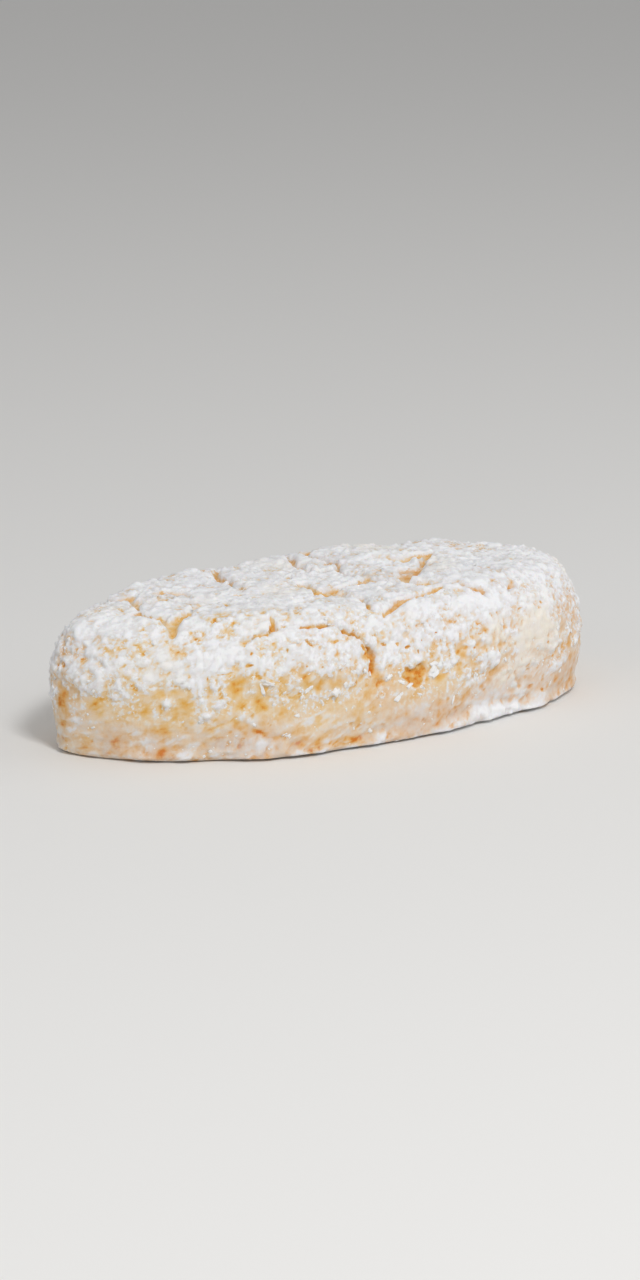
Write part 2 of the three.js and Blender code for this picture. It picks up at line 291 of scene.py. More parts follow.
# Small dents on the front that show bare paste or crumb: ovals, depth
FRONT_DENTS = (
    (-5.8, 14.1, 0.75, 0.42, -0.5, 0.3),
    (-5.1, 12.9, 1.25, 0.95, -0.5, 0.4),
    (-4.7, 11.1, 0.8, 1.1, 0.1, 0.4),
    (-4.1, 9.1, 1.35, 0.6, 0.1, 0.35),
    (-22.1, 13.2, 1, 0.3, 0.35, 0.16),
    (-24.6, 12.4, 1.4, 0.2, 0.1, 0.12),
    (-21.7, 0.9, 1.1, 0.4, 0, 0.12),
    (-10.3, 1.5, 1.3, 0.4, 0.25, 0.16),
    (8.9, 2.6, 1.2, 0.5, 0.3, 0.18),
    (23.5, 3.7, 0.9, 0.65, 0.2, 0.18),
    (26.2, 2.7, 0.5, 0.4, 0, 0.16),
    (26.2, 9.8, 0.5, 0.5, 0, 0.14),
    (10.3, 12.1, 0.65, 0.4, -0.3, 0.2),
    (18, 13.6, 0.4, 0.6, 0.4, 0.18),
    (-2.3, 14.3, 0.5, 0.25, -0.7, 0.2),
    (-0.4, 14.2, 0.4, 0.25, 0.1, 0.2),
    (1, 13.4, 0.55, 0.32, 0.1, 0.28),
    (3.7, 14, 0.22, 0.5, 0, 0.2),
    (5.8, 14.4, 0.3, 0.22, 0.3, 0.18),
    (2.8, 12.4, 0.2, 0.45, 0.2, 0.14),
    (-21.3, 14.9, 0.3, 0.25, 0, 0.1),
    (-21, 11.7, 0.55, 0.4, -0.3, 0.12),
    (-18.8, 13.6, 0.24, 0.45, 0.1, 0.14),
    (-16.8, 14.7, 0.35, 0.25, 0, 0.12),
    (-16.1, 13.8, 0.45, 0.22, -0.3, 0.12),
    (-14.7, 12.8, 0.5, 0.25, -0.6, 0.14),
    (-13.8, 15.3, 0.8, 0.22, -0.8, 0.14),
    (-12.3, 12.2, 0.45, 0.28, 0.1, 0.12),
    (-10, 15.2, 0.9, 0.26, -0.2, 0.16),
    (4.5, 12, 0.25, 0.35, 0, 0.14),
    (5.4, 15.6, 0.45, 0.22, 0.9, 0.14),
    (6.1, 13.2, 0.28, 0.42, 0.1, 0.14),
    (8.3, 13.2, 0.35, 0.2, 0.1, 0.12),
    (8.5, 15.6, 0.22, 0.4, 0.2, 0.14),
    (9.2, 9.9, 0.5, 0.35, 0.2, 0.14),
    (15.6, 15.2, 0.26, 0.6, 0.2, 0.14),
    (21.3, 15.2, 0.4, 0.2, -0.2, 0.12),
    (25.7, 15.3, 0.5, 0.16, -0.6, 0.1),
)

# Chips of caked sugar on the front: x, z, half length, half width, tilt
FRONT_CHIPS = (
    (4.7, 9.15, 0.8, 0.5, 1),
    (5.1, 9.9, 0.55, 0.34, 0.3),
    (-0.75, 6.4, 0.62, 0.26, 0.7),
    (-8.9, 9.3, 0.32, 0.2, 0.9),
    (-14.4, 9.4, 0.42, 0.22, 0.5),
    (-19.6, 10.5, 0.8, 0.32, -0.3),
    (-20.3, 9.6, 0.7, 0.2, 1.85),
    (12.3, 7, 0.7, 0.2, 1.5),
    (-4.9, 9.9, 0.36, 0.3, 0.4),
    (-0.4, 8.4, 0.5, 0.26, -0.2),
    (0.8, 7.6, 0.5, 0.2, 0.3),
    (-2, 9.3, 0.45, 0.28, 0.5),
    (-10.7, 8.7, 0.52, 0.26, 1.2),
    (8.2, 4.6, 0.5, 0.18, 1.2),
    (17.8, 8.6, 0.36, 0.2, -0.8),
)

# The shape of a bit of sugar: how thick for its width, what share is sunk, how often its ball is divided
CHIP = Form(flat=0.6, sink=0.45, uneven=1.3, blocky=0.72, turns=3, seed=334)
FLECK = Form(flat=0.4, sink=0.68, uneven=1.4, blocky=0.78, turns=2, seed=320)
BIT_NOISE = Form(size=1.1, apart=7)  # how far apart the bits lie in it
LEAST_LEVEL = 1e-6  # keeps the direction along a bit sound where the skin is level

# Small flakes of sugar on the skin: half width from least to most, and how small and round ones prevail
FLECKS = Form(count=1300, least=0.08, most=0.27, long=1.7, small=3, round=2)
FLECKS_LIE = Form(thick=(0.5, 0.75), fewer=0.8, everywhere=0.002)

# Mesh: steps along, across and up, and the size of the base's rings, as shares of the base
ALONG, ACROSS, UP = 232, 116, 92
BASE_RINGS = (0.985, 0.62, 0.3)

# What the base, which nothing shows, has of each amount, and how much more sugar lies towards its rim
BASE_VALUES = dict(sugar=0.4, powdery=0.3, bare=0, dull_and_shade=0.2, edge=0.6, crumb=0.3, golden=0.6, cream=0, base=1)
BASE_RIM = Form(sugar=0.16, reach=(0.5, 0.9))

# The cookie's material. Its noises are size across, layers and roughness
BLACK, WHITE = (0, 0, 0), (255, 255, 255)
FINE_NOISE = (0.42, 4, 0.6)
COARSE_NOISE = (1.1, 3, 0.5)
COVER = Form(fine=0.22, fine_powdery=0.32, coarse=0.2, specks=0.35, base=1.5)
SPECKS = Form(noise=(0.55, 2, 0.5), range=(0.5, 0.6), middle=0.25)
BASE_NOISE = (6, 5, 0.6)
OPEN_CRUMB = Form(fine=0.5, ragged=0.7, range=(0.34, 0.6))
SHADE_VEIL = Form(coarse=2, middle=0.5)
RICH = Form(cover=(0.25, 0.7), middle=0.8)
ROUGHNESS = Form(least=0.68, cover=0.25)
COOKIE_BUMP = Form(fine=(0.3, 6, 0.75), coarse=(1.1, 3, 0.5), coarse_share=0.6, strength=0.55, reach=0.15)

# How light enters: specular level, subsurface weight, and how deep red, green and blue go in metres
COOKIE_LIGHT = (0.25, 0.08, (0.0012, 0.0007, 0.0004))
SUGAR_LIGHT = (0.2, 0.12, (0.0008, 0.0007, 0.0006))
CHALKY = 0.9

# Caked sugar: noise, colours and bump
SUGAR_NOISE = (1.6, 4, 0.6)
SUGAR_SHADES = ((0.3, (240, 236, 230)), (0.5, (245, 245, 245)))
SUGAR_BUMP = Form(noise=(0.25, 6, 0.7), strength=0.5, reach=0.1)

# Soft studio light: each lamp's place and size in metres and its power in watts. Then the pale surround
LAMPS = {
    "key": ((-0.08, -0.46, 0.52), 0.14, 2.1),
    "fill": ((0.6, -0.34, 0.24), 0.5, 0.8),
    "side": ((-0.6, -0.15, 0.22), 0.4, 0.3),
    "top": ((0.05, 0.15, 0.7), 0.5, 0.25),
}
SURROUND = 0.39
FLOOR = Form(half=4000, colour=(236, 235, 233))

# The camera: the photograph's viewing angle and lens, with the whole cookie in the frame
CAMERA = Form(azimuth=-33, elevation=14.3, lens=112, away=0.54, near=0.01)

# Factors that mix a grid cell's place into a random number
MIX = (0x8DA6B343, 0xD8163841, 0xCB1AB31F, 0x165667B1)
STIR = (0x2C1B3C6D, 0x297A2D39)
WORD = 2**32
RIPPLE_TALL = 1.9  # brings ripple to about -1 to 1
LEAST_APART = 1e-9


def draws(cell, seed):
    """Random numbers from 0 to 1 that belong to grid cells, given as rows of three integers."""
    mixed = np.full(len(cell), seed * MIX[3] % WORD, np.uint32)
    for axis in range(3):
        mixed ^= cell[:, axis].astype(np.uint32) * np.uint32(MIX[axis])
    mixed = (mixed ^ (mixed >> 15)) * np.uint32(STIR[0])
    mixed = (mixed ^ (mixed >> 12)) * np.uint32(STIR[1])
    mixed ^= mixed >> 15
    return mixed / WORD


def rise(value, low, high):
    """0 below low, 1 above high, with a smooth rise between."""
    t = np.clip((value - low) / (high - low), 0, 1)
    return t * t * (3 - 2 * t)


def within(value, ranges):
    """1 between the range where it begins and the range where it ends, and 0 beyond them."""
    begins, ends = ranges
    return rise(value, *begins) * (1 - rise(value, *ends))


def at_least(least, share):
    """From least, where share is 0, to 1, where it is 1."""
    return least + (1 - least) * share


def corners_round(points, size):
    """The corners of the cells that hold the points: where each is, how far they are from it, its weight."""
    cell = np.floor(points / size).astype(np.int64)
    offset = points / size - cell
    part = rise(offset, 0, 1)
    for corner in np.array(list(np.ndindex(2, 2, 2))):
        yield cell + corner, offset - corner, np.where(corner == 1, part, 1 - part).prod(axis=1)


def noise(points, size, seed):
    """Smooth noise from -1 to 1 whose bumps are about size across."""
    return 2 * sum(weight * draws(at, seed) for at, _, weight in corners_round(points, size)) - 1


def ripple(points, size, seed):
    """Noise from about -1 to 1 that rises and falls evenly round 0, with bumps about size across."""
    total = 0
    for at, offset, weight in corners_round(points, size):
        slope = 2 * np.stack([draws(at, 3 * seed + i) for i in range(3)], axis=1) - 1
        total = total + weight * (slope * offset).sum(axis=1)
    return RIPPLE_TALL * total


def layered(points, size, seed, layers=3):
    """Noise with finer layers on it, each half as large and half as strong, from about -1 to 1."""
    total = sum(ripple(points, size / 2**n, seed + n) / 2**n for n in range(layers))
    return total / (2 - 0.5 ** (layers - 1))


def lumps(points, size, seed, layers=3):
    """Rounded lumps between sharp creases, with finer ones on them, from 0 in a crease to about 1."""
    total = sum(np.abs(ripple(points, size / 2**n, seed + n)) / 2**n for n in range(layers))
    return 2 * total / (2 - 0.5 ** (layers - 1))


def waved(kind, points, wave):
    """Noise of one kind, times its amount."""
    amount, size, seed = wave
    return amount * kind(points, size, seed)


def spots(kind, points, form):
    """Spots drawn from noise of one kind, from 0 outside to 1 inside."""
    size, seed, begins, full = form
    return rise(kind(points, size, seed), begins, full)


def crust_cells(points, size, seed):
    """For the irregular cell that holds each point: how far its border is, and its random number."""
    home = np.floor(points / size).astype(np.int64)
    cells = [home + np.array(step) - 1 for step in np.ndindex(3, 3, 3)]
    middles = [(cell + np.stack([draws(cell, seed + i) for i in range(3)], axis=1)) * size for cell in cells]
    aways = np.stack([np.linalg.norm(middle - points, axis=1) for middle in middles])
    nearest = aways.argmin(axis=0)
    every = np.arange(len(points))
    own_away = aways[nearest, every]
    own = np.stack(middles)[nearest, every]
    border = np.full(len(points), np.inf)
    for middle, away in zip(middles, aways):
        apart = np.linalg.norm(middle - own, axis=1)
        halfway = (away**2 - own_away**2) / (2 * np.maximum(apart, LEAST_APART))
        border = np.where(apart > 0, np.minimum(border, halfway), border)
    return border, draws(np.stack(cells)[nearest, every], seed + 3)


def side_profile():
    """The side from the foot to the edge of the top, in even steps: rows of inset and height."""
    t = np.linspace(0, 1, PROFILE_STEPS)
    lower = t < 0.5
    angle = np.abs(t - 0.5) * math.pi
    power = 2 / np.where(lower, FOOT_POWER, SHOULDER_POWER)
    reach = np.where(lower, FOOT_INSET, SHOULDER_INSET)
    climb = np.where(lower, -WIDEST_HEIGHT, SHOULDER_HEIGHT - WIDEST_HEIGHT)
    cos = np.clip(np.cos(angle), 0, 1)
    inset = reach * (1 - cos**power)
    height = WIDEST_HEIGHT + climb * np.sin(angle) ** power
    length = np.concatenate([[0], np.cumsum(np.hypot(np.diff(inset), np.diff(height)))])
    even = np.linspace(0, length[-1], UP + 1)
    return np.stack([np.interp(even, length, inset), np.interp(even, length, height)], axis=1)


def quads_of(grid):
    """The quads between the points of a grid, which says their numbers."""
    return np.stack([grid[:-1, :-1], grid[:-1, 1:], grid[1:, 1:], grid[1:, :-1]], axis=-1).reshape(-1, 4)


def box_shell():
    """The unit box's walls and lid as a grid: its corners' places, its quads and the ring of its foot."""
    u = np.linspace(-1, 1, ALONG + 1)
    v = np.linspace(-1, 1, ACROSS + 1)
    w = np.linspace(-1, 1, UP + 1)
    ring = [(a, -1.0) for a in u[:-1]] + [(1.0, b) for b in v[:-1]]
    ring += [(a, 1.0) for a in u[:0:-1]] + [(-1.0, b) for b in v[:0:-1]]
    places = np.array([(a, b, c) for c in w for a, b in ring])
    walls = np.arange(len(places)).reshape(UP + 1, len(ring))
    lid = np.zeros((ACROSS + 1, ALONG + 1), np.int64)
    lid[1:-1, 1:-1] = len(places) + np.arange((ACROSS - 1) * (ALONG - 1)).reshape(ACROSS - 1, ALONG - 1)
    edges = np.split(walls[-1], np.cumsum([ALONG, ACROSS, ALONG]))
    lid[0, :-1], lid[:-1, -1], lid[-1, :0:-1], lid[:0:-1, 0] = edges
    inner = np.array([(a, b, 1) for b in v[1:-1] for a in u[1:-1]])
    quads = np.concatenate([quads_of(np.column_stack([walls, walls[:, 0]])), quads_of(lid)])
    return np.concatenate([places, inner]), quads, walls[0]


def to_power(value, power):
    """A value to a power, with its sign kept."""
    return np.sign(value) * np.abs(value) ** power


def smooth_points(box):
    """The smooth cookie: the unit box's walls go to its side and the box's lid to its top."""
    u, v, w = box.T
    inset, height = side_profile()[np.rint((w + 1) / 2 * UP).astype(int)].T
    reach = np.maximum(np.abs(u), np.abs(v))
    wide = np.abs(u) > np.abs(v)
    from_u = math.pi / 4 * v / np.where(wide, u, 1) + math.pi * (u < 0)
    from_v = math.pi / 2 - math.pi / 4 * u / np.where(wide | (reach == 0), 1, v) + math.pi * (v < 0)
    angle = np.where(wide, from_u, from_v)
    cos, sin = np.cos(angle), np.sin(angle)
    x = LENGTH / 2 * to_power(cos, 2 / PLAN_POWER)
    y = WIDTH / 2 * to_power(sin, 2 / PLAN_POWER)
    slope_x = to_power(2 * x / LENGTH, PLAN_POWER - 1) / LENGTH
    slope_y = to_power(2 * y / WIDTH, PLAN_POWER - 1) / WIDTH
    steep = np.hypot(slope_x, slope_y)
    around = np.arctan2(v, u)
    wave = 1 + sum(size * np.cos(lobes * around + phase) for lobes, size, phase in PLAN_WAVES)
    x = (x - inset * slope_x / steep) * reach * wave
    y = (y - inset * slope_y / steep) * reach * wave
    outwards = np.minimum((2 * x / LENGTH) ** 2 + (2 * y / WIDTH) ** 2, 1)
    return np.stack([x, y, height * (1 + CROWN * (1 - outwards))], axis=1)


def close_base(points, ring):
    """Closes the base with rings, each with half the points of the last: all points and the new triangles."""
    triangles = []
    outer = ring
    for share, last in zip(BASE_RINGS, (1,) + BASE_RINGS):
        inner = len(points) + np.arange(len(outer) // 2)
        points = np.concatenate([points, points[outer[::2]] * share / last])
        a, b, c = outer[::2], outer[1::2], np.roll(outer[::2], -1)
        p, q = inner, np.roll(inner, -1)
        triangles += [np.stack(three, axis=1) for three in ((a, p, b), (b, p, q), (b, q, c))]
        outer = inner
    hub = np.full(len(outer), len(points))
    triangles.append(np.stack([outer, hub, np.roll(outer, -1)], axis=1))
    return np.concatenate([points, np.zeros((1, 3))]), np.concatenate(triangles)


def new_mesh(name, points, faces):
    """A mesh object from points in millimetres and a list of arrays of faces."""
    corners = np.concatenate([f.ravel() for f in faces])
    sizes = np.concatenate([np.full(len(f), f.shape[1]) for f in faces])
    starts = np.cumsum(sizes) - sizes
    mesh = bpy.data.meshes.new(name)
    mesh.vertices.add(len(points))
    mesh.vertices.foreach_set("co", (np.asarray(points) * MM).astype(np.float32).ravel())
    mesh.loops.add(len(corners))
    mesh.loops.foreach_set("vertex_index", corners.astype(np.int32))
    mesh.polygons.add(len(sizes))
    mesh.polygons.foreach_set("loop_start", starts.astype(np.int32))
    mesh.polygons.foreach_set("use_smooth", np.ones(len(sizes), bool))
    mesh.update(calc_edges=True)
    mesh.validate()
    piece = bpy.data.objects.new(name, mesh)
    bpy.context.scene.collection.objects.link(piece)
    return piece


def normals_of(piece):
    """The normals of a mesh's points."""
    normals = np.empty(len(piece.data.vertices) * 3, np.float32)
    piece.data.vertex_normals.foreach_get("vector", normals)
    return normals.reshape(-1, 3).astype(float)


def add_values(piece, name, values):
    """Stores one number for each point, which the materials read."""
    piece.data.attributes.new(name, "FLOAT", "POINT").data.foreach_set("value", values.astype(np.float32))


def front_share(points):
    """How far a point belongs to the front, from 0 to 1."""
    return rise(-points[:, 1], *FRONT_DEPTH)


def shifted(points, reach, size, seed):
    """The points moved to and fro by smooth noise, which makes what is drawn from them ragged."""
    return points + reach * np.stack([noise(points, size, seed + i) for i in range(3)], axis=1)


def ragged(points, shifts):
    """The points after several shifts."""
    for shift in shifts:
        points = shifted(points, *shift)
    return points


def turned(x, z, tilt):
    """Where points lie along and up, when x and z are turned by a tilt."""
    return x * math.cos(tilt) + z * math.sin(tilt), z * math.cos(tilt) - x * math.sin(tilt)


def oval(x, z, middle_x, middle_z, half_length, half_height, tilt):
    """How far out a point lies in a tilted oval on the front: 0 in its middle, 1 on its edge."""
    along, up = turned(x - middle_x, z - middle_z, tilt)
    return np.hypot(along / half_length, up / half_height)


def plate(points, x, z):
    """The plate of crust: its relief, how far each point is in the crack round it, and its white lip."""
    along = (x - PLATE.x) / PLATE.long
    up = (z - PLATE.z) / PLATE.high
    power = PLATE.power
    out = (np.abs(along) ** power + np.abs(up) ** power) ** (1 / power)
    raised = PLATE.height * (1 - rise(out, PLATE.inner, 1)) * rise(up, -1, 0)
    steps = np.abs(along) ** (power - 1) / PLATE.long, np.abs(up) ** (power - 1) / PLATE.high
    slope = np.hypot(*steps) / np.maximum(out, LEAST_OUT) ** (power - 1)
    cracked = rise(np.maximum(up, along), *PLATE_CRACK.round)
    cracked *= rise(up, *ENDS.below) * rise(along, *ENDS.left)
    beside = np.abs(out - PLATE_CRACK.middle) / np.maximum(slope, LEAST_SLOPE)
    lip = PLATE_LIP.height * cracked * (1 - rise(np.abs(out - PLATE_LIP.middle), 0, PLATE_LIP.reach))
    broken = at_least(BROKEN.least, spots(ripple, points, BROKEN.spots))
    corner = rise(up, *CORNER.up) * rise(along, *CORNER.along)
    half_width = PLATE_CRACK.half_width * broken * (1 - CORNER.thinner * corner)
    half_width *= 1 + RIGHT.wider * rise(along, *RIGHT.along)
    crack = cracked * (1 - beside / half_width) * at_least(BROKEN.shallow, broken)
    crack -= PLATE_CRACK.bridged * share_in(points, FRONT_BRIDGES)
    return raised + lip - PLATE_CRACK.depth * rise(crack, 0, 1), crack, lip / PLATE_LIP.height


def front_relief(points):
    """The plate, the hollow and the dents: relief, how bare each point is, and the white lip."""
    x, _, z = ragged(points, FRONT_SHIFTS).T
    height, crack, white_lip = plate(points, x, z)
    hollow_out = np.min([oval(x, z, *place) for place in HOLLOW_PLACES], axis=0)
    hollow_out += waved(ripple, points, HOLLOW.wave)
    height -= HOLLOW.depth * (1 - rise(hollow_out, HOLLOW.inner, HOLLOW.outer))
    bare = np.maximum(crack, HOLLOW.bare * (HOLLOW.edge - hollow_out))
    for *place, depth in FRONT_DENTS:
        inside = 1 - oval(x, z, *place)
        height -= depth * rise(inside, *DENT.walls)
        barest = min(DENT.least + DENT.by_depth * depth, 1)
        bare = np.maximum(bare, barest * (DENT.inwards * inside + DENT.at_edge))
    front = front_share(points)
    return front * height, front * np.clip(bare, 0, 1), front * white_lip


def crack_net(points, bent):
    """The net of cracks: how deep each point lies in one, as a share, and how bare it is."""
    opened = spots(noise, points, OPENING.spots)
    opened *= rise(points[:, 2], OPENING.low + SHOULDER_WHOLE * front_share(points), OPENING.high)
    border, _ = crust_cells(bent, CRACK.cell, CRACK.seed)
    wide = np.clip(opened * (OPENING.middle + waved(ripple, points, OPENING.wave)), 0, 1)
    half_width = CRACK.least + (CRACK.most - CRACK.least) * wide
    half_width *= 1 + waved(ripple, points, CRACK_WIDTH_WAVE)
    inside = rise(wide, *CRACK.begins) * (1 - border / half_width)
    inside -= CRACK_BRIDGED * share_in(points, FRONT_BRIDGES)
    return rise(inside, 0, CRACK.full) * at_least(CRACK.narrow, wide), np.clip(inside, 0, 1)


def film_share(points):
    """How far the film of caked sugar that climbs from the foot covers each point."""
    return rise(FILM.top - points[:, 2] + layered(points, FILM.size, FILM.seed), 0, FILM.edge)


def broad_relief(points):
    """The solid's relief with finer cracks: relief, how bare each point is, and the flakes."""
    bent = ragged(points, CRACK_SHIFTS)
    crack, bare = crack_net(points, bent)
    flake_border, flake_draw = crust_cells(bent, FLAKE.cell, FLAKE.seed)
    flake = rise(flake_draw, *FLAKE.drawn) * rise(flake_border, 0, FLAKE.edge)
    flake *= rise(points[:, 2], *FLAKE.heights)
    band = np.exp(-(((points[:, 2] - RIM.middle) / RIM.reach) ** 2))
    rim = RIM.height * band * (1 + noise(points, RIM.size, RIM.seed)) + FILM.height * film_share(points)
    height = waved(noise, points, SWELL_WAVE) + waved(noise, points, LUMP_WAVE)
    return height + FLAKE.height * flake + rim - CRACK.depth * crack, bare, flake


def patches(points):
    """The front's patches: how much more sugar and height than round them."""
    x, _, z = ragged(points, PATCH_SHIFTS).T
    added = np.zeros((2, len(points)))
    for *place, more, higher in FRONT_PATCHES:
        added += np.outer((more, higher), rise(oval(x, z, *place), *PATCH_EDGE))
    return added * front_share(points)


def share_in(points, places):
    """How far each point lies in one of the ovals on the front, from 0 to 1."""
    x, _, z = shifted(points, *PLACE_SHIFT).T
    inside = [rise(oval(x, z, *place), *PLACE_EDGE) for place in places]
    return np.max(inside, axis=0) * front_share(points)


def sugar_zone(points, flake, calm):
    """How much sugar there is before the finest detail: 0 on bare crumb, 1 where thick."""
    z = points[:, 2]
    smaller = at_least(ZONE_SMALLER.low, rise(z, *ZONE_SMALLER.heights)) * (1 - ZONE_SMALLER.calm * calm)
    zone = ZONE.least + sum(more * rise(z, low, high) for more, low, high in ZONE_STEPS)
    zone += ZONE.foot * film_share(points) * spots(ripple, points, ZONE.foot_spots)
    zone += waved(layered, points, ZONE_WAVES.wide)
    zone += smaller * (waved(layered, points, ZONE_WAVES.middle) + waved(layered, points, ZONE_WAVES.small))
    return zone + ZONE.flake * flake


def streaks(points, form):
    """Noise drawn out into streaks that rise to the right on the front, where the paste was drawn along."""
    x, y, z = points.T
    along, up = turned(x, z, form.tilt)
    return layered(np.stack([along / form.long, y / form.long, up / form.short], axis=1), 1, form.seed)


def drawn_out(points, form):
    """The points for a fine form: shifted, and squeezed in height where the skin is upright."""
    upright = 1 - rise(points[:, 2:], *UPRIGHT_UP_TO)
    return shifted(points, *form.shift) * (np.array([1, 1, form.squeeze]) * upright + (1 - upright))


def pits(points, zone, calm):
    """How deep each point lies in a pit of the sugar, from 0 to 1."""
    many = within(zone, PITS.sugar) * (1 - calm)
    hole = layered(drawn_out(points, PIT), PIT.size, PIT.seed, 2)
    pitted = rise(hole, PITS.begin - PITS.sooner * many, PITS.full - PITS.full_sooner * many)
    return pitted * rise(many, *PITS.many)


def dashes(points, powdery):
    """Short marks along the streaks in smooth sugar: above 0 where raised, below 0 where sunk."""
    drawn = streaks(shifted(points, *DASH.shift), DASH)
    marks = rise(drawn, *DASH_SHARE.raised) - DASH_SHARE.sunk_by * rise(-drawn, *DASH_SHARE.sunk)
    return marks * (1 - powdery) * spots(ripple, points, DASH_SHARE.spots)


def dull_and_shade_share(points, zone, calm):
    """How dull and grey the sugar is, partly painted shade low on the sides."""
    low = 1 - rise(points[:, 2], *DULLNESS_AND_SHADE.heights)
    spotted = at_least(DULLNESS_AND_SHADE.least, spots(layered, points, DULL_AND_SHADE_SPOTS))
    return low * spotted * (1 - DULLNESS_AND_SHADE.calm * calm) * within(zone, DULLNESS_AND_SHADE.sugar)


def cream_share(points, bare):
    """How far the sugar is cream."""
    elsewhere = CREAM_SPOT_SHARE * spots(layered, points, CREAM_SPOTS)
    cream = np.maximum(share_in(points, FRONT_CREAM), elsewhere)
    return cream * (1 - bare) * spots(layered, points, CREAM_BROKEN)


def edge_share(points, zone, bare, cream):
    """How far each point lies where thick sugar thins out."""
    edge = within(zone, THINNING.sugar) * at_least(THINNING.least, rise(points[:, 2], *THINNING.heights))
    return edge * (1 - rise(bare, *THINNING.crumb)) * (1 - cream)


def crumb_shade(points, crumb, bare, in_crack):
    """How pale bare crumb is."""
    shade = CRUMB_PALE.lumps * crumb + CRUMB_PALE.least
    shade += CRUMB_PALE.edge * (1 - rise(bare, *CRUMB_PALE.bare))
    return shade + (CRUMB_PALE.crack + CRUMB_PALE.more * spots(layered, points, CRUMB_SPOTS)) * in_crack


def golden_share(points):
    """How golden rather than rosy the paste is."""
    x, _, z = points.T
    front = sum(amount * rise(x, *across) * rise(z, *up) for amount, across, up in GOLDEN_FRONT)
    return GOLDEN_SHARE.middle + waved(layered, points, GOLDEN_SHARE.wave) + front_share(points) * front


def surface(points):
    """The skin at points of the smooth cookie: its relief, and the amounts that its material reads."""
    broad, cracked, flake = broad_relief(points)
    front, dented, white_lip = front_relief(points)
    more_sugar, higher = patches(points)
    bare = np.maximum(cracked, dented)
    calm = share_in(points, FRONT_CALM)
    rough = 1 - CALM_SMOOTHER * calm
    zone = sugar_zone(points, flake, calm) + more_sugar
    z = points[:, 2]
    powdery = rise(zone + POWDERY.per_mm * (z - POWDERY.height), *POWDERY.sugar)
    smooth = 1 - powdery
    clumped = lumps(shifted(points, *CLUMP.shift), CLUMP.size, CLUMP.seed)
    feathered = lumps(drawn_out(points, FEATHER), FEATHER.size, FEATHER.seed, 2)
    pitted = pits(points, zone, calm)
    drawn = streaks(points, STREAK)
    dashed = dashes(points, powdery)
    crumb = lumps(points, CRUMB.size, CRUMB.seed, 2)

    clumps = FINE_SUGAR.clump * (clumped - LUMP_MIDDLE) + FINE_SUGAR.feather * (feathered - LUMP_MIDDLE)
    sugar = zone + clumps * at_least(SMOOTH_SUGAR.clumps, powdery) * rough
    sugar += FINE_SUGAR.streak * drawn * smooth + FINE_SUGAR.dash * dashed
    sugar -= (FINE_SUGAR.pit + FINE_SUGAR.deep_pit * pitted) * pitted
    at_foot = SMOOTH_SUGAR.less_at_foot * (1 - rise(z, *SMOOTH_SUGAR.foot))
    sugar -= (SMOOTH_SUGAR.less + at_foot) * smooth
    sugar += waved(layered, points, FINE_SUGAR_WAVE) * rough + FINE_SUGAR.lip * white_lip

    fine = CLUMP.height * clumped + FEATHER.height * feathered
    fine *= at_least(SMOOTH_SUGAR.relief, powdery) * rough
    fine += EDGE.height * rise(zone + waved(layered, points, EDGE.wave), *EDGE.sugar)
    fine += waved(ripple, points, GRAIN_WAVE)
    fine += STREAK.height * drawn * smooth + DASH.height * dashed - PIT.depth * pitted
    in_crumb = rise(bare, *IN_CRUMB)
    fine *= 1 - CRUMB_SMOOTHER * in_crumb
    fine += CRUMB.height * crumb * in_crumb + higher

    cream = cream_share(points, bare)
    return {
        "relief": broad + front + fine * rise(z, 0, FINE_FADE),
        "sugar": sugar,
        "powdery": powdery,
        "bare": bare,
        "dull_and_shade": dull_and_shade_share(points, zone, calm),
        "edge": edge_share(points, zone, bare, cream),
        "crumb": crumb_shade(points, crumb, bare, cracked > dented),
        "cream": cream,
        "base": np.zeros(len(points)),
        "golden": golden_share(points),
    }


def dress():
    """Makes the cookie's fine mesh with its relief and the amounts that its material reads."""
    box, quads, ring = box_shell()
    smooth, floor_faces = close_base(smooth_points(box), ring)
    piece = new_mesh("sugared_cookie", smooth, [quads, floor_faces])
    normals = normals_of(piece)
    walls = len(box)
    found = surface(smooth[:walls])
    out = found["relief"]
    shaped = smooth.copy()
    shaped[:walls, :2] += out[:, None] * normals[:walls, :2]
    shaped[:walls, 2] += out * normals[:walls, 2] * rise(smooth[:walls, 2], 0, BASE_FADE)
    shaped, _ = close_base(shaped[:walls], ring)
    shaped = LOW + (shaped - shaped.min(axis=0)) * (HIGH - LOW) / np.ptp(shaped, axis=0)
    piece.data.vertices.foreach_set("co", (shaped * MM).astype(np.float32).ravel())
    x, y, _ = smooth[walls:].T
    near_rim = rise(np.hypot(2 * x / LENGTH, 2 * y / WIDTH), *BASE_RIM.reach)
    for name, at_base in BASE_VALUES.items():
        below = at_base + (name == "sugar") * BASE_RIM.sugar * near_rim
        add_values(piece, name, np.concatenate([found[name], below]))
    piece.data.update()
    found.update(points=shaped, normals=normals_of(piece), quads=quads)
    return piece, found


def ball(turns):
    """A ball of radius 1: its points and triangles."""
    shape = bmesh.new()
    bmesh.ops.create_icosphere(shape, subdivisions=turns, radius=1)
    points = np.array([v.co[:] for v in shape.verts])
    triangles = np.array([[v.index for v in f.verts] for f in shape.faces])
    shape.free()
    return points, triangles


def unit(vectors):
    """The same directions, each with length 1."""
    return vectors / np.linalg.norm(vectors, axis=1)[:, None]


